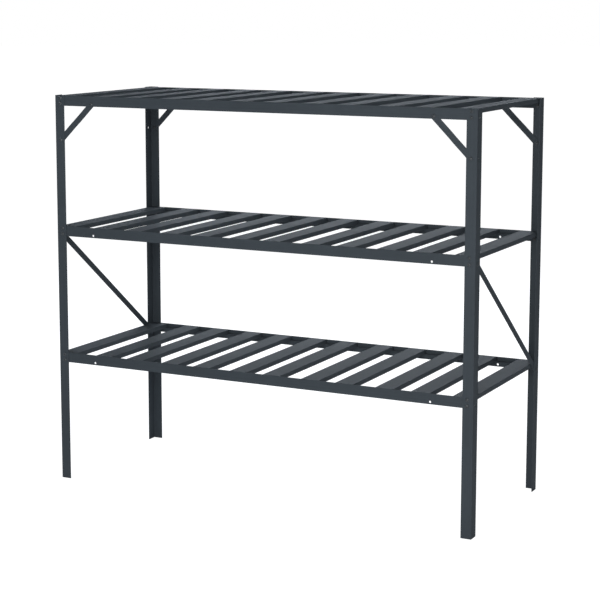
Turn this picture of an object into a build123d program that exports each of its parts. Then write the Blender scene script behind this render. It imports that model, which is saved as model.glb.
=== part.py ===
"""Three-shelf slatted potting bench, bolted together from powder-coated aluminium profiles.

Frame: +X to the right, +Y to the back, +Z up, millimetres.
The origin is on the floor, midway between the four legs.
Every bar is cut from a constant profile, so each piece is a profile, an extrusion and its holes.
"""

from build123d import *
import os
from math import atan2, degrees, hypot, sqrt

os.makedirs("parts", exist_ok=True)

# Whole bench
BENCH_WIDTH = 1200.0
BENCH_DEPTH = 485.0
LEG_HEIGHT = 1052.0
SHELF_TOPS = {"bottom": 353.0, "middle": 700.0, "top": 1051.0}

# Leg: an unequal angle, with its corner at the bench's corner
LEG_FRONT_FLANGE = 28.0
LEG_SIDE_FLANGE = 31.0
LEG_WALL = 2.0
LEG_CORNER_RADIUS = 1.0
LEG_EDGE_RADIUS = 0.6

# Rail: an upright web with a ledge on its inner face, which the slats stand on
RAIL_HEIGHT = 27.2
RAIL_WALL = 1.5
LEDGE_REACH = 10.0
LEDGE_WALL = 1.4
RAIL_EDGE_RADIUS = 0.4

# Slat: a channel with its open side down, its top flush with the top of the rails
SLATS_PER_SHELF = 12
SLAT_WIDTH = 50.0
SLAT_DEPTH = 11.6
SLAT_WALL = 1.4
SLAT_CORNER_RADIUS = 1.2
SLAT_EDGE_RADIUS = 0.4
SLAT_PAIR_PITCH = 96.0
SLAT_END_GAP = 0.5

# Braces: flat bars with round ends
BRACE_WIDTH = 16.0
BRACE_WALL = 2.0
BRACE_SIDE_GAP = 0.5
KNEE_SPAN = 97.0
KNEE_JOGGLE = 12.0

# Holes and M5 fasteners
HOLE_RADIUS = 2.9
HOLE_GAUGE = 16.0
UPPER_ROW_DEPTH = 6.0
LOWER_ROW_DEPTH = 21.2
BOLT_RADIUS = 2.5
BOLT_LENGTH = 10.0
BOLT_TIP = 0.5
HEAD_RADIUS = 4.75
HEAD_HEIGHT = 2.75
HEAD_RIM = 0.6
SOCKET_ACROSS_FLATS = 3.0
SOCKET_DEPTH = 1.5
NUT_ACROSS_FLATS = 8.0
NUT_HEIGHT = 4.0
NUT_CHAMFER = 0.5

# Worked out from the sizes above
HALF_WIDTH = BENCH_WIDTH / 2
HALF_DEPTH = BENCH_DEPTH / 2
SIDE_INSET = LEG_WALL + BRACE_WALL + BRACE_SIDE_GAP
RAIL_LENGTH = BENCH_WIDTH - 2 * SIDE_INSET
SLAT_LENGTH = BENCH_DEPTH - 2 * (LEG_WALL + RAIL_WALL + SLAT_END_GAP)
HOLE_X = HALF_WIDTH - HOLE_GAUGE
HOLE_Y = HALF_DEPTH - HOLE_GAUGE
KNEE_HOLE_X = HOLE_X - KNEE_SPAN
ROW_DEPTHS = (UPPER_ROW_DEPTH, LOWER_ROW_DEPTH)
KNEE_RAIL_Z = SHELF_TOPS["top"] - LOWER_ROW_DEPTH
KNEE_LEG_Z = KNEE_RAIL_Z - KNEE_SPAN
SIDE_BRACE_TOP_Z = SHELF_TOPS["middle"] - LOWER_ROW_DEPTH
SIDE_BRACE_FOOT_Z = SHELF_TOPS["bottom"] - LOWER_ROW_DEPTH
CUT_MARGIN = 1.0

FRONT_FACE = Plane.XZ.offset(HALF_DEPTH)
LEFT_FACE = Plane.YZ.offset(-HALF_WIDTH)


def save(piece, name):
    """Labels one finished piece and writes it to its own STEP file."""
    piece.part.label = name
    export_step(piece.part, f"parts/{name}.step")


def mirrored(piece, plane):
    """The same piece on the other side of the bench."""
    with BuildPart() as other_side:
        mirror(piece.part, about=plane)
    return other_side


def outward_plane(x, y, z, normal_x, normal_y):
    """A plane at a point on a vertical face, with its normal outward and its own y axis up."""
    return Plane(origin=(x, y, z), x_dir=(-normal_y, normal_x, 0), z_dir=(normal_x, normal_y, 0))


# ---------------------------------------------------------------- legs

def front_left_leg():
    """An angle standing on the floor, with holes through both flanges."""
    corner_x = -HALF_WIDTH
    corner_y = -HALF_DEPTH
    outline = [
        (corner_x, corner_y),
        (corner_x + LEG_FRONT_FLANGE, corner_y),
        (corner_x + LEG_FRONT_FLANGE, corner_y + LEG_WALL),
        (corner_x + LEG_WALL, corner_y + LEG_WALL),
        (corner_x + LEG_WALL, corner_y + LEG_SIDE_FLANGE),
        (corner_x, corner_y + LEG_SIDE_FLANGE),
    ]
    front_holes = [(-HOLE_X, top - depth) for top in SHELF_TOPS.values() for depth in ROW_DEPTHS]
    front_holes.append((-HOLE_X, KNEE_LEG_Z))
    side_holes = [(-HOLE_Y, top - LOWER_ROW_DEPTH) for top in SHELF_TOPS.values()]
    side_holes.append((-HOLE_Y, KNEE_LEG_Z))
    with BuildPart() as leg:
        with BuildSketch(Plane.XY) as profile:
            with BuildLine():
                Polyline(*outline, close=True)
            make_face()
            fillet(profile.vertices().sort_by_distance(outline[0])[1:], radius=LEG_EDGE_RADIUS)
            fillet(profile.vertices().sort_by_distance(outline[0])[0], radius=LEG_CORNER_RADIUS)
        extrude(amount=LEG_HEIGHT)
        with BuildSketch(FRONT_FACE):
            with Locations(*front_holes):
                Circle(HOLE_RADIUS)
        extrude(amount=-(LEG_WALL + CUT_MARGIN), mode=Mode.SUBTRACT)
        with BuildSketch(LEFT_FACE):
            with Locations(*side_holes):
                Circle(HOLE_RADIUS)
        extrude(amount=LEG_WALL + CUT_MARGIN, mode=Mode.SUBTRACT)
    return leg


# ---------------------------------------------------------------- rails

def front_rail(shelf_top):
    """A rail behind the front legs: the web with its ledge, and its bolt and knee-brace holes."""
    web_front = -HALF_DEPTH + LEG_WALL
    web_back = web_front + RAIL_WALL
    ledge_tip = web_back + LEDGE_REACH
    ledge_top = shelf_top - SLAT_DEPTH
    ledge_foot = ledge_top - LEDGE_WALL
    rail_foot = shelf_top - RAIL_HEIGHT
    outline = [
        (web_front, rail_foot),
        (web_back, rail_foot),
        (web_back, ledge_foot),
        (ledge_tip, ledge_foot),
        (ledge_tip, ledge_top),
        (web_back, ledge_top),
        (web_back, shelf_top),
        (web_front, shelf_top),
    ]
    holes = [(side * HOLE_X, shelf_top - depth) for side in (-1, 1) for depth in ROW_DEPTHS]
    holes += [(side * KNEE_HOLE_X, shelf_top - LOWER_ROW_DEPTH) for side in (-1, 1)]
    with BuildPart() as rail:
        with BuildSketch(Plane.YZ.offset(-RAIL_LENGTH / 2)) as profile:
            with BuildLine():
                Polyline(*outline, close=True)
            make_face()
            fillet(profile.vertices(), radius=RAIL_EDGE_RADIUS)
        extrude(amount=RAIL_LENGTH)
        with BuildSketch(FRONT_FACE):
            with Locations(*holes):
                Circle(HOLE_RADIUS)
        extrude(amount=-(LEG_WALL + RAIL_WALL + CUT_MARGIN), mode=Mode.SUBTRACT)
    return rail


# ---------------------------------------------------------------- slats

def slat_centres():
    """The x of each slat: the slats stand in near pairs, with a wider gap between the pairs."""
    end_centre = HALF_WIDTH - SIDE_INSET - SLAT_WIDTH / 2
    pairs = SLATS_PER_SHELF // 2 - 1
    wide_pitch = (2 * end_centre - pairs * SLAT_PAIR_PITCH) / (pairs + 1)
    centres = [-end_centre]
    for step in range(SLATS_PER_SHELF - 1):
        centres.append(centres[-1] + (SLAT_PAIR_PITCH if step % 2 else wide_pitch))
    return centres


def slat(centre_x, shelf_top):
    """A channel from the front rail's web to the back rail's, standing on both ledges."""
    with BuildPart() as channel:
        with BuildSketch(Plane.XZ.offset(-SLAT_LENGTH / 2)) as profile:
            with Locations((centre_x, shelf_top - SLAT_DEPTH / 2)):
                Rectangle(SLAT_WIDTH, SLAT_DEPTH)
            top_corners = profile.vertices().group_by(Axis.Y)[-1]
            fillet(top_corners, radius=SLAT_CORNER_RADIUS)
            with Locations((centre_x, shelf_top - SLAT_WALL - SLAT_DEPTH / 2)):
                Rectangle(SLAT_WIDTH - 2 * SLAT_WALL, SLAT_DEPTH, mode=Mode.SUBTRACT)
            flange_feet = profile.vertices().group_by(Axis.Y)[0]
            fillet(flange_feet, radius=SLAT_EDGE_RADIUS)
        extrude(amount=SLAT_LENGTH)
    return channel


# ---------------------------------------------------------------- braces

def front_left_knee_brace():
    """A short bar at 45 degrees from the leg up to the top rail.

    It lies on the leg's flange at one end and on the rail's web at the other,
    so it steps back by the rail's thickness in a joggle halfway along.
    """
    leg_hole = Vector(-HOLE_X, 0, KNEE_LEG_Z)
    rail_hole = Vector(-KNEE_HOLE_X, 0, KNEE_RAIL_Z)
    middle = (leg_hole + rail_hole) / 2
    hole_distance = (rail_hole - leg_hole).length
    slope = degrees(atan2(rail_hole.Z - leg_hole.Z, rail_hole.X - leg_hole.X))
    half_length = hole_distance / 2 + BRACE_WIDTH
    leg_side = -HALF_DEPTH + LEG_WALL
    rail_side = leg_side + RAIL_WALL
    outline = [
        (-half_length, leg_side),
        (-KNEE_JOGGLE, leg_side),
        (KNEE_JOGGLE, rail_side),
        (half_length, rail_side),
        (half_length, rail_side + BRACE_WALL),
        (KNEE_JOGGLE, rail_side + BRACE_WALL),
        (-KNEE_JOGGLE, leg_side + BRACE_WALL),
        (-half_length, leg_side + BRACE_WALL),
    ]
    along = (rail_hole - leg_hole).normalized()
    across = Vector(-along.Z, 0, along.X)
    with BuildPart() as brace:
        with BuildSketch(Plane(origin=middle, x_dir=along, z_dir=across)):
            with BuildLine():
                Polyline(*outline, close=True)
            make_face()
        extrude(amount=BRACE_WIDTH / 2, both=True)
        with BuildSketch(FRONT_FACE):
            with Locations((middle.X, middle.Z)):
                SlotCenterToCenter(hole_distance, BRACE_WIDTH, rotation=slope)
            with Locations((leg_hole.X, leg_hole.Z), (rail_hole.X, rail_hole.Z)):
                Circle(HOLE_RADIUS, mode=Mode.SUBTRACT)
        extrude(amount=-BRACE_WIDTH, mode=Mode.INTERSECT)
    return brace


def left_side_brace():
    """A long bar from the front leg, under the middle shelf, down to the back leg at the bottom shelf."""
    upper = (-HOLE_Y, SIDE_BRACE_TOP_Z)
    lower = (HOLE_Y, SIDE_BRACE_FOOT_Z)
    run = lower[0] - upper[0]
    drop = upper[1] - lower[1]
    with BuildPart() as brace:
        with BuildSketch(LEFT_FACE.offset(LEG_WALL)):
            with Locations(((upper[0] + lower[0]) / 2, (upper[1] + lower[1]) / 2)):
                SlotCenterToCenter(hypot(run, drop), BRACE_WIDTH, rotation=-degrees(atan2(drop, run)))
            with Locations(upper, lower):
                Circle(HOLE_RADIUS, mode=Mode.SUBTRACT)
        extrude(amount=BRACE_WALL)
    return brace


# ---------------------------------------------------------------- fasteners

def button_bolt():
    """An M5 button-head bolt: the head stands on the XY plane and the shank runs down -Z."""
    dome_rise = HEAD_HEIGHT - HEAD_RIM
    dome_radius = (HEAD_RADIUS ** 2 + dome_rise ** 2) / (2 * dome_rise)
    half_out = HEAD_RADIUS / 2
    dome_middle = (half_out, HEAD_HEIGHT - dome_radius + sqrt(dome_radius ** 2 - half_out ** 2))
    with BuildPart() as bolt:
        with BuildSketch(Plane.XZ):
            with BuildLine():
                Polyline(
                    (0, HEAD_HEIGHT),
                    (0, -BOLT_LENGTH),
                    (BOLT_RADIUS - BOLT_TIP, -BOLT_LENGTH),
                    (BOLT_RADIUS, BOLT_TIP - BOLT_LENGTH),
                    (BOLT_RADIUS, 0),
                    (HEAD_RADIUS, 0),
                    (HEAD_RADIUS, HEAD_RIM),
                )
                ThreePointArc((HEAD_RADIUS, HEAD_RIM), dome_middle, (0, HEAD_HEIGHT))
            make_face()
        revolve(axis=Axis.Z)
        with BuildSketch(Plane.XY.offset(HEAD_HEIGHT)):
            RegularPolygon(SOCKET_ACROSS_FLATS / 2, 6, major_radius=False)
        extrude(amount=-SOCKET_DEPTH, mode=Mode.SUBTRACT)
    return bolt


def hex_nut():
    """An M5 hex nut hanging below the XY plane, two of its flats facing +Y and -Y."""
    corner_radius = NUT_ACROSS_FLATS / sqrt(3)
    with BuildPart() as nut:
        with BuildSketch(Plane.XY):
            RegularPolygon(NUT_ACROSS_FLATS / 2, 6, major_radius=False)
            Circle(BOLT_RADIUS, mode=Mode.SUBTRACT)
        extrude(amount=-NUT_HEIGHT)
        with BuildSketch(Plane.XZ):
            with BuildLine():
                Polyline(
                    (0, 0),
                    (corner_radius - NUT_CHAMFER, 0),
                    (corner_radius, -NUT_CHAMFER / 2),
                    (corner_radius, NUT_CHAMFER / 2 - NUT_HEIGHT),
                    (corner_radius - NUT_CHAMFER, -NUT_HEIGHT),
                    (0, -NUT_HEIGHT),
                    close=True,
                )
            make_face()
        revolve(axis=Axis.Z, mode=Mode.INTERSECT)
    return nut


def rail_bolt_planes():
    """Where the rails are bolted to the legs, front and back."""
    return [
        outward_plane(side * HOLE_X, face * HALF_DEPTH, top - depth, 0, face)
        for top in SHELF_TOPS.values()
        for depth in ROW_DEPTHS
        for side in (-1, 1)
        for face in (-1, 1)
    ]


def knee_leg_planes():
    """Where the knee braces are bolted to the legs."""
    return [
        outward_plane(side * HOLE_X, face * HALF_DEPTH, KNEE_LEG_Z, 0, face)
        for side in (-1, 1)
        for face in (-1, 1)
    ]


def knee_rail_planes():
    """Where the knee braces are bolted to the top rails."""
    return [
        outward_plane(side * KNEE_HOLE_X, face * (HALF_DEPTH - LEG_WALL), KNEE_RAIL_Z, 0, face)
        for side in (-1, 1)
        for face in (-1, 1)
    ]


def side_brace_planes():
    """Where the two long braces are bolted to the legs."""
    planes = []
    for side in (-1, 1):
        planes.append(outward_plane(side * HALF_WIDTH, -HOLE_Y, SIDE_BRACE_TOP_Z, side, 0))
        planes.append(outward_plane(side * HALF_WIDTH, HOLE_Y, SIDE_BRACE_FOOT_Z, side, 0))
    return planes


def fastener_group(fastener, planes):
    """The same fastener at every plane, each copy a solid of its own."""
    with BuildPart() as group:
        with Locations(*planes):
            add(fastener.part)
    return group


def sunk(planes, depth):
    """The same planes moved inward, to where a nut bears."""
    return [plane.offset(-depth) for plane in planes]


# ---------------------------------------------------------------- the bench

leg = front_left_leg()
right_leg = mirrored(leg, Plane.YZ)
save(leg, "front_left_leg")
save(right_leg, "front_right_leg")
save(mirrored(leg, Plane.XZ), "back_left_leg")
save(mirrored(right_leg, Plane.XZ), "back_right_leg")

for shelf, top in SHELF_TOPS.items():
    rail = front_rail(top)
    save(rail, f"{shelf}_front_rail")
    save(mirrored(rail, Plane.XZ), f"{shelf}_back_rail")
    for number, centre in enumerate(slat_centres(), start=1):
        save(slat(centre, top), f"{shelf}_slat_{number:02d}")

knee_brace = front_left_knee_brace()
right_knee_brace = mirrored(knee_brace, Plane.YZ)
save(knee_brace, "front_left_knee_brace")
save(right_knee_brace, "front_right_knee_brace")
save(mirrored(knee_brace, Plane.XZ), "back_left_knee_brace")
save(mirrored(right_knee_brace, Plane.XZ), "back_right_knee_brace")

side_brace = left_side_brace()
save(side_brace, "left_side_brace")
save(mirrored(side_brace, Plane.YZ), "right_side_brace")

bolt = button_bolt()
nut = hex_nut()
save(fastener_group(bolt, rail_bolt_planes()), "rail_bolts")
save(fastener_group(nut, sunk(rail_bolt_planes(), LEG_WALL + RAIL_WALL)), "rail_nuts")
save(fastener_group(bolt, knee_leg_planes() + knee_rail_planes()), "knee_brace_bolts")
save(
    fastener_group(
        nut,
        sunk(knee_leg_planes(), LEG_WALL + BRACE_WALL) + sunk(knee_rail_planes(), RAIL_WALL + BRACE_WALL),
    ),
    "knee_brace_nuts",
)
save(fastener_group(bolt, side_brace_planes()), "side_brace_bolts")
save(fastener_group(nut, sunk(side_brace_planes(), LEG_WALL + BRACE_WALL)), "side_brace_nuts")
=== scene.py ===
"""Looks for the potting bench: powder-coated profiles, threaded M5 fasteners, pale studio.

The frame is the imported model, in metres: +X right, +Y back, +Z up, origin on the floor.
"""

import math

import bpy
import numpy as np
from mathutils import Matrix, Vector


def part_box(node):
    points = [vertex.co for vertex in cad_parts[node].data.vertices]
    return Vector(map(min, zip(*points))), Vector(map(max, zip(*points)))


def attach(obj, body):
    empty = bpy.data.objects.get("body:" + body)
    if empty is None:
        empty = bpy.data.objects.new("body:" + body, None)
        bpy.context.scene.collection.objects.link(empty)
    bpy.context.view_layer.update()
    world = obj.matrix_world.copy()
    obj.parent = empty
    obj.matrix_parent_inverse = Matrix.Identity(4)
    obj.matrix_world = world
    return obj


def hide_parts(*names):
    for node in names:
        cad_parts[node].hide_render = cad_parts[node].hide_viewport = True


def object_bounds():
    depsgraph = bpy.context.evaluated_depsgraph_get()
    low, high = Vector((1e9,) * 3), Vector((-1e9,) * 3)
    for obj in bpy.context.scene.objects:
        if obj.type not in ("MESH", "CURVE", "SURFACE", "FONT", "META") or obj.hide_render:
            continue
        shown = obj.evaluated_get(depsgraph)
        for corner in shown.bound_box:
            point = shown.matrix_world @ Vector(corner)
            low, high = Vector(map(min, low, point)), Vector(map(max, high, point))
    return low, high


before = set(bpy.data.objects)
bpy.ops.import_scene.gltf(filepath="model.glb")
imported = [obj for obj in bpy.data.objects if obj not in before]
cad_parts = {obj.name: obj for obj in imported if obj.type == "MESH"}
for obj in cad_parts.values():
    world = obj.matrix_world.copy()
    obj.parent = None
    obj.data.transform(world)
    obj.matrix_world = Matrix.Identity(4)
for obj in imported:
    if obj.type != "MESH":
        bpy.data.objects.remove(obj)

CAD_LOW, CAD_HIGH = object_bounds()
MM = 0.001

# The bench's own layout, which the fasteners follow
HOLE_GAUGE = 16.0 * MM
UPPER_ROW_DEPTH = 6.0 * MM
LOWER_ROW_DEPTH = 21.2 * MM
KNEE_SPAN = 97.0 * MM
LEG_WALL = 2.0 * MM
RAIL_WALL = 1.5 * MM
BRACE_WALL = 2.0 * MM

# M5 button-head bolts and hex nuts
BOLT_RADIUS = 2.48 * MM
BOLT_LENGTH = 10.0 * MM
BOLT_BORE = 2.5 * MM
BOLT_COLUMNS = 36
THREAD_LENGTH = 3.4 * MM
THREAD_PITCH = 0.8 * MM
THREAD_DEPTH = 0.4 * MM
THREAD_ROWS = 30
THREAD_INSET = 0.1 * MM
THREAD_POINT = 0.3 * MM
HEAD_RADIUS = 4.75 * MM
HEAD_HEIGHT = 2.75 * MM
HEAD_RIM = 0.6 * MM
HEAD_EDGE = 0.25 * MM
SOCKET_APOTHEM = 1.5 * MM
SOCKET_DEPTH = 1.5 * MM
SOCKET_LEAD = 0.25 * MM
NUT_APOTHEM = 4.0 * MM
NUT_HEIGHT = 4.0 * MM
NUT_CHAMFER = 0.55 * MM
NUT_LEAD = 0.3 * MM
NUT_COLUMNS = 48
NUT_CHAMFER_SLOPE = 1.7
DOME_ROWS = 9
FILLET = 0.2 * MM
SHARP_ANGLE = math.radians(32.0)

# Anthracite powder coat, one for every profile
COAT_DARK = (0.038, 0.0455, 0.0525)
COAT_LIGHT = (0.049, 0.0588, 0.068)
COAT_WORN = (0.085, 0.094, 0.102)
COAT_ROUGH = 0.66
COAT_ROUGH_SWING = 0.05
COAT_SPECULAR = 0.14
COAT_PEEL = {"Peel": 620.0, "Grain": 2600.0}
COAT_EDGES = {"Reach": 0.9 * MM, "Breaks": 240.0}
COAT_EDGE_SHARE = 0.5
COAT_BUMP = 0.55
COAT_BUMP_DEPTH = 0.06 * MM
DUST_COLOUR = (0.42, 0.41, 0.39)
DUST_PATCH = 34.0
DUST_SHARE = 0.03
DUST_DULLING = 0.06

# How the die-line noise is squeezed: finely across the bar, drawn out along it
ALONG = 1.5
ACROSS = 500.0
UPRIGHT_LINES = (ACROSS, ACROSS, ALONG)
LENGTHWISE_LINES = (ALONG, ACROSS, ACROSS)
CROSSWISE_LINES = (ACROSS, ALONG, ACROSS)
SLANTED_LINES = (60.0, 60.0, 60.0)

# Blackened steel of the bolts and nuts
STEEL_DARK = (0.036, 0.040, 0.044)
STEEL_LIGHT = (0.056, 0.062, 0.068)
STEEL_RUBBED = (0.16, 0.17, 0.18)
STEEL_METALLIC = 0.35
STEEL_ROUGH = (0.30, 0.44)
STEEL_PEEL = {"Peel": 1500.0, "Grain": 5200.0}
STEEL_EDGES = {"Reach": 0.3 * MM, "Breaks": 900.0}
STEEL_EDGE_SHARE = 0.6
STEEL_BUMP = 0.4
STEEL_BUMP_DEPTH = 0.02 * MM

# Camera: where it stands round the bench, in degrees and metres, and its lens
CAMERA_AZIMUTH = 27.1
CAMERA_ELEVATION = 8.2
CAMERA_DISTANCE = 4.547
CAMERA_AIM_FROM_MIDDLE = (-0.027, -0.014, 0.143)
CAMERA_LENS = 102.2
CAMERA_SENSOR = 36.0
CAMERA_SHIFT = (0.025, -0.1)

# The room's faint glow towards each side: axis, sign, strength
SURROUND = (
    ("Y", 1.0, 0.2), ("Y", -1.0, 0.1),
    ("X", -1.0, 0.2), ("X", 1.0, 0.52),
    ("Z", 1.0, 0.2), ("Z", -1.0, 0.1),
)
SURROUND_TINT = (0.91, 0.97, 1.04, 1.0)
WHITE = (1.0, 1.0, 1.0, 1.0)

# Softboxes: name, place, size, power in watts, tint
COOL = (0.9, 0.98, 1.08)
SOFTBOXES = (
    ("front_right", (1.2, -3.3, 1.4), (1.2, 1.6), 73.0, (0.98, 1.0, 1.01)),
    ("left_high", (-3.0, 0.1, 2.6), (1.6, 1.6), 47.0, COOL),
    ("behind", (-1.2, 3.4, 1.4), (2.4, 1.0), 42.0, COOL),
)

# Floor: the radii of its rings, its tones, and how it looks to the camera, which is nearly white
FLOOR_RINGS = (1.5, 4.0, 12.0, 40.0)
FLOOR_COLUMNS = 48
FLOOR_TONES = ((0.90, 0.90, 0.90), (0.94, 0.94, 0.94))
FLOOR_GLOW = 0.1
FLOOR_SEEN = 0.97
FLOOR_SEEN_TONE = 0.3


# ---------------------------------------------------------------- camera, light and floor

def look_from(azimuth, elevation, distance, aim):
    """A point at a distance from the aim; azimuth 0 looks along +Y."""
    turn, rise = math.radians(azimuth), math.radians(elevation)
    level = math.cos(rise)
    back = Vector((math.sin(turn) * level, -math.cos(turn) * level, math.sin(rise)))
    return Vector(aim) + back * distance


def add_camera():
    """The camera, to the right of the bench and a little above its top shelf."""
    middle = (CAD_LOW + CAD_HIGH) / 2
    aim = middle + Vector(CAMERA_AIM_FROM_MIDDLE)
    lens = bpy.data.cameras.new("camera")
    lens.lens = CAMERA_LENS
    lens.sensor_width = CAMERA_SENSOR
    lens.shift_x, lens.shift_y = CAMERA_SHIFT
    camera = bpy.data.objects.new("camera", lens)
    camera.location = look_from(CAMERA_AZIMUTH, CAMERA_ELEVATION, CAMERA_DISTANCE, aim)
    camera.rotation_euler = (aim - camera.location).to_track_quat("-Z", "Y").to_euler()
    bpy.context.collection.objects.link(camera)
    bpy.context.scene.camera = camera


def add_softbox(name, place, size, power, tint):
    """A rectangular soft light that faces the bench and is not seen itself."""
    aim = (CAD_LOW + CAD_HIGH) / 2
    lamp = bpy.data.lights.new(name, "AREA")
    lamp.shape = "RECTANGLE"
    lamp.size, lamp.size_y = size
    lamp.energy = power
    lamp.color = tint
    holder = bpy.data.objects.new(name, lamp)
    holder.location = place
    holder.visible_camera = False
    holder.rotation_euler = (aim - Vector(place)).to_track_quat("-Z", "Y").to_euler()
    bpy.context.collection.objects.link(holder)


def add_surround(nodes, links, background):
    """Light from all round: the sum over six sides of glow times the squared cosine to it."""
    split = nodes.new("ShaderNodeSeparateXYZ")
    links.new(nodes.new("ShaderNodeTexCoord").outputs["Generated"], split.inputs[0])
    total = 0.0
    for axis, sign, glow in SURROUND:
        signed = calculate(nodes, links, "MULTIPLY", split.outputs[axis], sign)
        towards = calculate(nodes, links, "MAXIMUM", signed, 0.0)
        soft = calculate(nodes, links, "POWER", towards, 2.0)
        share = calculate(nodes, links, "MULTIPLY", soft, glow)
        total = calculate(nodes, links, "ADD", share, total)
    links.new(total, background.inputs["Strength"])


def add_studio():
    """A room that looks plain white and glows faintly on the bench, and three softboxes."""
    world = bpy.data.worlds.new("studio")
    bpy.context.scene.world = world
    world.use_nodes = True
    nodes, links = world.node_tree.nodes, world.node_tree.links
    nodes.clear()
    output = nodes.new("ShaderNodeOutputWorld")
    mix = nodes.new("ShaderNodeMixShader")
    path = nodes.new("ShaderNodeLightPath")
    seen = nodes.new("ShaderNodeBackground")
    seen.inputs["Color"].default_value = WHITE
    seen.inputs["Strength"].default_value = 1.0
    lit = nodes.new("ShaderNodeBackground")
    lit.inputs["Color"].default_value = SURROUND_TINT
    add_surround(nodes, links, lit)
    links.new(path.outputs["Is Camera Ray"], mix.inputs[0])
    links.new(lit.outputs[0], mix.inputs[1])
    links.new(seen.outputs[0], mix.inputs[2])
    links.new(mix.outputs[0], output.inputs["Surface"])
    for softbox in SOFTBOXES:
        add_softbox(*softbox)


def add_floor():
    """A wide pale disc under the bench, at height zero: a fan in the middle, then quads."""
    turns = np.linspace(0.0, 2.0 * np.pi, FLOOR_COLUMNS, endpoint=False)
    radius, angle = np.meshgrid(FLOOR_RINGS, turns, indexing="ij")
    points = np.stack([radius * np.cos(angle), radius * np.sin(angle), np.zeros_like(radius)], -1)
    points = np.vstack([[[0.0, 0.0, 0.0]], points.reshape(-1, 3)])
    step = np.arange(FLOOR_COLUMNS)
    after = (step + 1) % FLOOR_COLUMNS
    fan = np.stack([np.zeros_like(step), 1 + step, 1 + after], -1).tolist()
    quads = []
    for ring in range(len(FLOOR_RINGS) - 1):
        low, high = 1 + ring * FLOOR_COLUMNS, 1 + (ring + 1) * FLOOR_COLUMNS
        quads += np.stack([low + step, high + step, high + after, low + after], -1).tolist()
    mesh = bpy.data.meshes.new("floor")
    mesh.from_pydata(points.tolist(), [], fan + quads)
    floor = bpy.data.objects.new("floor", mesh)
    bpy.context.collection.objects.link(floor)
    floor.data.materials.append(floor_material())


# ---------------------------------------------------------------- shader groups and materials

def new_group(name, inputs, outputs):
    """An empty shader node group with named sockets, and its two end nodes."""
    group = bpy.data.node_groups.new(name, "ShaderNodeTree")
    for label, kind, value in inputs:
        group.interface.new_socket(label, in_out="INPUT", socket_type=kind).default_value = value
    for label in outputs:
        group.interface.new_socket(label, in_out="OUTPUT", socket_type="NodeSocketFloat")
    return group, group.nodes.new("NodeGroupInput"), group.nodes.new("NodeGroupOutput")


def place_group(nodes, group, **values):
    """One use of a shader node group, with its own values for this finish."""
    node = nodes.new("ShaderNodeGroup")
    node.node_tree = group
    for label, value in values.items():
        node.inputs[label].default_value = value
    return node


def calculate(nodes, links, operation, first, second, clamp=False):
    """One Math node; each operand is a socket or a number."""
    node = nodes.new("ShaderNodeMath")
    node.operation = operation
    node.use_clamp = clamp
    for place, value in enumerate((first, second)):
        if isinstance(value, bpy.types.NodeSocket):
            links.new(value, node.inputs[place])
        else:
            node.inputs[place].default_value = value
    return node.outputs[0]


def noise(nodes, links, where, scale, detail, roughness=0.5):
    """Noise from 0 to 1; the scale is a socket or a number."""
    node = nodes.new("ShaderNodeTexNoise")
    links.new(where, node.inputs["Vector"])
    if isinstance(scale, bpy.types.NodeSocket):
        links.new(scale, node.inputs["Scale"])
    else:
        node.inputs["Scale"].default_value = scale
    node.inputs["Detail"].default_value = detail
    node.inputs["Roughness"].default_value = roughness
    return node.outputs["Fac"]


def spread(nodes, links, value, low, high, new_low, new_high):
    """Maps one range of values to another, and stops at its ends."""
    node = nodes.new("ShaderNodeMapRange")
    links.new(value, node.inputs["Value"])
    node.inputs["From Min"].default_value = low
    node.inputs["From Max"].default_value = high
    node.inputs["To Min"].default_value = new_low
    node.inputs["To Max"].default_value = new_high
    return node.outputs["Result"]


def blend_colour(nodes, links, factor, first, second):
    """Mixes two colours by a mask; each colour is a socket or an RGB tuple."""
    node = nodes.new("ShaderNodeMix")
    node.data_type = "RGBA"
    links.new(factor, node.inputs["Factor"])
    for label, colour in (("A", first), ("B", second)):
        socket = next(entry for entry in node.inputs
                      if entry.name == label and entry.type == "RGBA")
        if isinstance(colour, bpy.types.NodeSocket):
            links.new(colour, socket)
        else:
            socket.default_value = (*colour, 1.0)
    return next(entry for entry in node.outputs if entry.type == "RGBA")


def powder_group():
    """Powder coat: orange peel and baked-on grain for the height, slow clouding for the colour."""
    group, given, made = new_group(
        "powder_surface",
        [(label, "NodeSocketFloat", value) for label, value in COAT_PEEL.items()],
        ["Height", "Cloud", "Grain"])
    nodes, links = group.nodes, group.links
    where = nodes.new("ShaderNodeTexCoord").outputs["Object"]
    peel = noise(nodes, links, where, given.outputs["Peel"], 1.5)
    grain = noise(nodes, links, where, given.outputs["Grain"], 2.0)
    fine = calculate(nodes, links, "MULTIPLY", grain, 0.35)
    links.new(calculate(nodes, links, "ADD", peel, fine), made.inputs["Height"])
    slow = noise(nodes, links, where, 2.6, 3.0)
    patchy = calculate(nodes, links, "MULTIPLY", noise(nodes, links, where, 19.0, 4.0, 0.6), 0.5)
    cloud = calculate(nodes, links, "ADD", slow, patchy)
    links.new(spread(nodes, links, cloud, 0.5, 1.0, 0.0, 1.0), made.inputs["Cloud"])
    links.new(grain, made.inputs["Grain"])
    return group


def die_line_group():
    """Faint lines that the extrusion die leaves: noise squeezed across the bar."""
    group, given, made = new_group(
        "die_lines", [("Squeeze", "NodeSocketVector", UPRIGHT_LINES)], ["Lines"])
    nodes, links = group.nodes, group.links
    where = nodes.new("ShaderNodeTexCoord").outputs["Object"]
    squeezed = nodes.new("ShaderNodeVectorMath")
    squeezed.operation = "MULTIPLY"
    links.new(where, squeezed.inputs[0])
    links.new(given.outputs["Squeeze"], squeezed.inputs[1])
    lines = noise(nodes, links, squeezed.outputs["Vector"], 1.0, 2.0, 0.6)
    links.new(spread(nodes, links, lines, 0.3, 0.7, 0.0, 1.0), made.inputs["Lines"])
    return group


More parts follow.
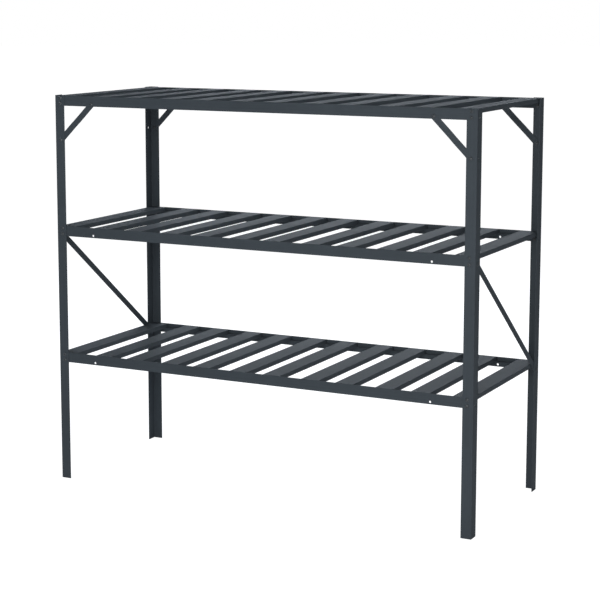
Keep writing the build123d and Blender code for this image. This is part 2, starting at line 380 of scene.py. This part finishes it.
def edge_group():
    """Thin coating on edges: 1 where the surface turns sharply nearby, broken up by noise."""
    group, given, made = new_group(
        "thin_edges",
        [(label, "NodeSocketFloat", value) for label, value in COAT_EDGES.items()],
        ["Mask"])
    nodes, links = group.nodes, group.links
    rounded = nodes.new("ShaderNodeBevel")
    rounded.samples = 4
    links.new(given.outputs["Reach"], rounded.inputs["Radius"])
    facing = nodes.new("ShaderNodeVectorMath")
    facing.operation = "DOT_PRODUCT"
    links.new(rounded.outputs["Normal"], facing.inputs[0])
    links.new(nodes.new("ShaderNodeNewGeometry").outputs["Normal"], facing.inputs[1])
    turned = spread(nodes, links, facing.outputs["Value"], 0.985, 0.86, 0.0, 1.0)
    where = nodes.new("ShaderNodeTexCoord").outputs["Object"]
    chips = noise(nodes, links, where, given.outputs["Breaks"], 3.0)
    broken = spread(nodes, links, chips, 0.4, 0.62, 0.35, 1.0)
    links.new(calculate(nodes, links, "MULTIPLY", turned, broken, clamp=True), made.inputs["Mask"])
    return group


def dust_group():
    """A trace of dust: 1 on patches of the faces that look straight up."""
    group, given, made = new_group(
        "settled_dust", [("Patch", "NodeSocketFloat", DUST_PATCH)], ["Mask"])
    nodes, links = group.nodes, group.links
    parts = nodes.new("ShaderNodeSeparateXYZ")
    links.new(nodes.new("ShaderNodeNewGeometry").outputs["Normal"], parts.inputs[0])
    level = spread(nodes, links, parts.outputs["Z"], 0.75, 0.98, 0.0, 1.0)
    where = nodes.new("ShaderNodeTexCoord").outputs["Object"]
    speckle = noise(nodes, links, where, given.outputs["Patch"], 6.0, 0.7)
    patches = spread(nodes, links, speckle, 0.35, 0.7, 0.25, 1.0)
    links.new(calculate(nodes, links, "MULTIPLY", level, patches, clamp=True), made.inputs["Mask"])
    return group


def add_bump(nodes, links, shader, height, strength, depth):
    """A bump of the given strength and depth, from a height, on the shader's normal."""
    bump = nodes.new("ShaderNodeBump")
    bump.inputs["Strength"].default_value = strength
    bump.inputs["Distance"].default_value = depth
    links.new(height, bump.inputs["Height"])
    links.new(bump.outputs["Normal"], shader.inputs["Normal"])


def coated_metal(name, groups, squeeze):
    """Powder coat: clouded colour with die lines, thin pale edges, dust, and peel in the bump."""
    material = bpy.data.materials.new(name)
    material.use_nodes = True
    nodes, links = material.node_tree.nodes, material.node_tree.links
    shader = nodes["Principled BSDF"]
    shader.inputs["Specular IOR Level"].default_value = COAT_SPECULAR
    surface = place_group(nodes, groups["powder"], **COAT_PEEL)
    lines = place_group(nodes, groups["lines"], Squeeze=squeeze)
    edges = place_group(nodes, groups["edges"], **COAT_EDGES)
    dust = place_group(nodes, groups["dust"], Patch=DUST_PATCH)
    faint = calculate(nodes, links, "MULTIPLY", lines.outputs["Lines"], 0.3)
    tone = calculate(nodes, links, "MULTIPLY", surface.outputs["Cloud"], 0.7)
    lined = calculate(nodes, links, "ADD", tone, faint)
    body = blend_colour(nodes, links, lined, COAT_DARK, COAT_LIGHT)
    thin = calculate(nodes, links, "MULTIPLY", edges.outputs["Mask"], COAT_EDGE_SHARE)
    edged = blend_colour(nodes, links, thin, body, COAT_WORN)
    dusty = calculate(nodes, links, "MULTIPLY", dust.outputs["Mask"], DUST_SHARE)
    links.new(blend_colour(nodes, links, dusty, edged, DUST_COLOUR), shader.inputs["Base Color"])
    grainy = spread(nodes, links, surface.outputs["Grain"], 0.3, 0.7,
                    COAT_ROUGH - COAT_ROUGH_SWING, COAT_ROUGH + COAT_ROUGH_SWING)
    dulled = calculate(nodes, links, "MULTIPLY", dust.outputs["Mask"], DUST_DULLING)
    links.new(calculate(nodes, links, "ADD", grainy, dulled), shader.inputs["Roughness"])
    line_height = calculate(nodes, links, "MULTIPLY", lines.outputs["Lines"], 0.25)
    height = calculate(nodes, links, "ADD", surface.outputs["Height"], line_height)
    add_bump(nodes, links, shader, height, COAT_BUMP, COAT_BUMP_DEPTH)
    return material


def bolt_metal(groups):
    """Blackened steel: mottled colour and roughness, with brighter metal on the edges."""
    material = bpy.data.materials.new("blackened_steel")
    material.use_nodes = True
    nodes, links = material.node_tree.nodes, material.node_tree.links
    shader = nodes["Principled BSDF"]
    shader.inputs["Metallic"].default_value = STEEL_METALLIC
    surface = place_group(nodes, groups["powder"], **STEEL_PEEL)
    edges = place_group(nodes, groups["edges"], **STEEL_EDGES)
    body = blend_colour(nodes, links, surface.outputs["Cloud"], STEEL_DARK, STEEL_LIGHT)
    rubbed = calculate(nodes, links, "MULTIPLY", edges.outputs["Mask"], STEEL_EDGE_SHARE)
    links.new(blend_colour(nodes, links, rubbed, body, STEEL_RUBBED), shader.inputs["Base Color"])
    rough = spread(nodes, links, surface.outputs["Grain"], 0.3, 0.7, *STEEL_ROUGH)
    links.new(rough, shader.inputs["Roughness"])
    add_bump(nodes, links, shader, surface.outputs["Height"], STEEL_BUMP, STEEL_BUMP_DEPTH)
    return material


def floor_material():
    """Pale matt studio floor with a trace of mottling, shown to the camera as nearly white."""
    material = bpy.data.materials.new("studio_floor")
    material.use_nodes = True
    nodes, links = material.node_tree.nodes, material.node_tree.links
    shader = nodes["Principled BSDF"]
    where = nodes.new("ShaderNodeTexCoord").outputs["Object"]
    mottle = noise(nodes, links, where, 5.0, 4.0)
    pale = blend_colour(nodes, links, mottle, *FLOOR_TONES)
    seen = nodes.new("ShaderNodeLightPath").outputs["Is Camera Ray"]
    tone = blend_colour(nodes, links, seen, pale, (FLOOR_SEEN_TONE,) * 3)
    links.new(tone, shader.inputs["Base Color"])
    shader.inputs["Roughness"].default_value = 0.9
    shader.inputs["Specular IOR Level"].default_value = 0.1
    shader.inputs["Emission Strength"].default_value = 1.0
    glow = blend_colour(nodes, links, seen, (FLOOR_GLOW,) * 3, (FLOOR_SEEN,) * 3)
    links.new(glow, shader.inputs["Emission Color"])
    return material


# ---------------------------------------------------------------- fasteners

def hexagon(angle, apothem):
    """A hexagon's radius in each direction.

    It is the apothem over the cosine of the angle from the middle of the nearest side.
    """
    sixth = np.pi / 3.0
    return apothem / np.cos(np.mod(angle, sixth) - sixth / 2.0)


def revolved(rows, angle, poles):
    """Points and faces of an outline, rows of (radius, height), carried round the z axis.

    The point at turn a is radius times cosine a, radius times sine a, and height. Poles close both
    ends of an open outline; without them the last row joins the first.
    """
    radius = np.vstack([np.broadcast_to(row[0], angle.shape) for row in rows])
    height = np.vstack([np.broadcast_to(row[1], angle.shape) for row in rows])
    points = np.stack([radius * np.cos(angle), radius * np.sin(angle), height], -1).reshape(-1, 3)
    count, columns = radius.shape
    bands = count - 1 if poles else count
    row, column = np.meshgrid(np.arange(bands), np.arange(columns), indexing="ij")
    below, after = (row + 1) % count, (column + 1) % columns
    quads = np.stack([row * columns + column, below * columns + column,
                      below * columns + after, row * columns + after], -1).reshape(-1, 4)
    if not poles:
        return points, quads, np.zeros((0, 3), int)
    ends = [[0.0, 0.0, height[0].mean()], [0.0, 0.0, height[-1].mean()]]
    step = np.arange(columns)
    after = (step + 1) % columns
    last = (count - 1) * columns
    first_fan = np.stack([np.full(columns, count * columns), step, after], -1)
    last_fan = np.stack([np.full(columns, count * columns + 1), last + after, last + step], -1)
    return np.vstack([points, ends]), quads, np.vstack([first_fan, last_fan])


def bolt_surface():
    """A button-head bolt standing on the XY plane, its shank below.

    The outline runs over the socket's floor, up its hexagonal wall, over the domed head, across
    the bearing face and down the shank. Inside the socket the radius follows the hexagon. The dome
    is part of a circle: height is the crown's centre plus the root of its radius squared less the
    distance squared. On the thread the radius swings from crest to root as a triangle wave of
    depth over pitch less the turn, which makes a helix.
    """
    angle = np.linspace(0.0, 2.0 * np.pi, BOLT_COLUMNS, endpoint=False)[None, :]
    rise = HEAD_HEIGHT - HEAD_RIM
    dome = (HEAD_RADIUS ** 2 + rise ** 2) / (2.0 * rise)
    crown = HEAD_HEIGHT - dome
    wall = hexagon(angle, SOCKET_APOTHEM)
    mouth = wall + SOCKET_LEAD
    mouth_height = crown + np.sqrt(dome ** 2 - mouth ** 2)
    floor_height = HEAD_HEIGHT - SOCKET_DEPTH
    rows = [
        (0.75 * wall, floor_height - 0.1 * MM),
        (wall, floor_height),
        (wall, mouth_height - SOCKET_LEAD),
        (mouth, mouth_height),
    ]
    for share in np.linspace(0.12, 1.0, DOME_ROWS):
        radius = mouth * (1.0 - share) + HEAD_RADIUS * share
        rows.append((radius, crown + np.sqrt(dome ** 2 - radius ** 2)))
    rows += [
        (HEAD_RADIUS, HEAD_EDGE),
        (HEAD_RADIUS - HEAD_EDGE, 0.0),
        (BOLT_RADIUS + FILLET, 0.0),
        (BOLT_RADIUS, -FILLET),
        (BOLT_RADIUS, THREAD_LENGTH - BOLT_LENGTH),
    ]
    thread_start = BOLT_LENGTH - THREAD_LENGTH + THREAD_INSET
    depths = np.linspace(thread_start, BOLT_LENGTH - THREAD_INSET, THREAD_ROWS)
    for depth in depths:
        wave = np.abs(2.0 * np.mod(depth / THREAD_PITCH - angle / (2.0 * np.pi), 1.0) - 1.0)
        run_in = min((depth - depths[0]) / THREAD_PITCH, 1.0)
        point = max(1.0 - (depths[-1] - depth) / THREAD_PITCH, 0.0)
        rows.append((BOLT_RADIUS - THREAD_DEPTH * wave * run_in - THREAD_POINT * point, -depth))
    rows.append((0.6 * BOLT_RADIUS, -BOLT_LENGTH))
    return revolved(rows, angle, poles=True)


def nut_surface():
    """A hex nut hanging under the XY plane: in each direction the radius is the smaller of the
    hexagon's and a chamfer cone's, round a bore with a small lead-in at both ends."""
    angle = np.linspace(0.0, 2.0 * np.pi, NUT_COLUMNS, endpoint=False)[None, :]
    flats = hexagon(angle, NUT_APOTHEM)
    corner = NUT_APOTHEM / math.cos(math.pi / 6.0)
    upper = [(np.minimum(flats, corner - NUT_CHAMFER + NUT_CHAMFER_SLOPE * depth), -depth)
             for depth in np.linspace(0.0, NUT_CHAMFER, 6)]
    lower = [(radius, -NUT_HEIGHT - height) for radius, height in reversed(upper)]
    bore = [
        (BOLT_BORE + NUT_LEAD, -NUT_HEIGHT),
        (BOLT_BORE, NUT_LEAD - NUT_HEIGHT),
        (BOLT_BORE, -NUT_LEAD),
        (BOLT_BORE + NUT_LEAD, 0.0),
    ]
    return revolved(upper + lower + bore, angle, poles=False)


def standing_on(normal, turn):
    """The turn that takes +z to a horizontal outward normal, after a spin about it."""
    outward = np.array([(-normal[1], normal[0], 0.0), (0.0, 0.0, 1.0), normal]).T
    spin = np.array([
        [math.cos(turn), -math.sin(turn), 0.0],
        [math.sin(turn), math.cos(turn), 0.0],
        [0.0, 0.0, 1.0],
    ])
    return outward @ spin


def add_set(name, surface, places, material, node):
    """One mesh with the surface at every (point, normal, turn), in place of a CAD node."""
    points, quads, fans = surface
    turns = np.array([standing_on(normal, turn) for point, normal, turn in places])
    feet = np.array([point for point, normal, turn in places])
    spots = np.einsum("kij,nj->kni", turns, points) + feet[:, None, :]
    first = (np.arange(len(places)) * len(points))[:, None, None]
    faces = (quads[None] + first).reshape(-1, 4).tolist()
    faces += (fans[None] + first).reshape(-1, 3).tolist()
    mesh = bpy.data.meshes.new(name)
    mesh.from_pydata(spots.reshape(-1, 3).tolist(), [], faces)
    mesh.polygons.foreach_set("use_smooth", np.ones(len(mesh.polygons), bool))
    mesh.set_sharp_from_angle(angle=SHARP_ANGLE)
    mesh.materials.append(material)
    piece = bpy.data.objects.new(name, mesh)
    bpy.context.collection.objects.link(piece)
    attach(piece, "root")
    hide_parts(node)


def bolt_places():
    """Each bolt's point under its head and its outward normal, in four named sets."""
    low = Vector(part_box("front_left_leg")[0])
    high = Vector(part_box("back_right_leg")[1])
    tops = {shelf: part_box(f"{shelf}_front_rail")[1][2] for shelf in ("bottom", "middle", "top")}
    knee_rail_z = tops["top"] - LOWER_ROW_DEPTH
    rail, knee_leg, knee_rail, brace = [], [], [], []
    for y, outward in ((low.y, -1.0), (high.y, 1.0)):
        normal = (0.0, outward, 0.0)
        for edge, side in ((low.x, -1.0), (high.x, 1.0)):
            x = edge - side * HOLE_GAUGE
            rail += [((x, y, top - depth), normal) for top in tops.values()
                     for depth in (UPPER_ROW_DEPTH, LOWER_ROW_DEPTH)]
            knee_leg.append(((x, y, knee_rail_z - KNEE_SPAN), normal))
            knee_rail.append(((x - side * KNEE_SPAN, y - outward * LEG_WALL, knee_rail_z), normal))
    for x, side in ((low.x, -1.0), (high.x, 1.0)):
        normal = (side, 0.0, 0.0)
        brace.append(((x, low.y + HOLE_GAUGE, tops["middle"] - LOWER_ROW_DEPTH), normal))
        brace.append(((x, high.y - HOLE_GAUGE, tops["bottom"] - LOWER_ROW_DEPTH), normal))
    return rail, knee_leg, knee_rail, brace


def nuts_behind(places, grip):
    """Nut places: the bolts' points moved inward by the thickness they clamp, two flats level."""
    return [(tuple(np.array(point) - grip * np.array(normal)), normal, 0.0)
            for point, normal in places]


def spun(places, rng):
    """Bolt places, each socket left at a random turn."""
    return [(point, normal, float(rng.uniform(0.0, math.pi / 3.0))) for point, normal in places]


def add_fasteners(material):
    """All bolts and nuts, in the same six sets as the CAD nodes."""
    rng = np.random.default_rng(7)
    rail, knee_leg, knee_rail, brace = bolt_places()
    bolt, nut = bolt_surface(), nut_surface()
    on_leg, on_rail = LEG_WALL + BRACE_WALL, RAIL_WALL + BRACE_WALL
    add_set("rail_bolts_threaded", bolt, spun(rail, rng), material, "rail_bolts")
    knee = knee_leg + knee_rail
    add_set("knee_bolts_threaded", bolt, spun(knee, rng), material, "knee_brace_bolts")
    add_set("side_bolts_threaded", bolt, spun(brace, rng), material, "side_brace_bolts")
    knee_nuts = nuts_behind(knee_leg, on_leg) + nuts_behind(knee_rail, on_rail)
    add_set("rail_nuts_hex", nut, nuts_behind(rail, LEG_WALL + RAIL_WALL), material, "rail_nuts")
    add_set("knee_nuts_hex", nut, knee_nuts, material, "knee_brace_nuts")
    add_set("side_nuts_hex", nut, nuts_behind(brace, on_leg), material, "side_brace_nuts")


# ---------------------------------------------------------------- the bench

def dress(nodes, material):
    """Gives CAD nodes a finished material in place of the plain one."""
    for name in nodes:
        piece = bpy.data.objects[name]
        piece.data.materials.clear()
        piece.data.materials.append(material)


def main():
    """Studio first, then the coated profiles, then the fasteners."""
    add_camera()
    add_studio()
    add_floor()
    bpy.context.scene.view_settings.view_transform = "Standard"
    groups = {
        "powder": powder_group(),
        "lines": die_line_group(),
        "edges": edge_group(),
        "dust": dust_group(),
    }
    names = list(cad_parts)
    for part, squeeze in (("leg", UPRIGHT_LINES), ("rail", LENGTHWISE_LINES),
                          ("slat", CROSSWISE_LINES), ("brace", SLANTED_LINES)):
        chosen = [name for name in names
                  if f"_{part}" in name and not name.endswith(("bolts", "nuts"))]
        dress(chosen, coated_metal(f"{part}_coat", groups, squeeze))
    add_fasteners(bolt_metal(groups))


main()
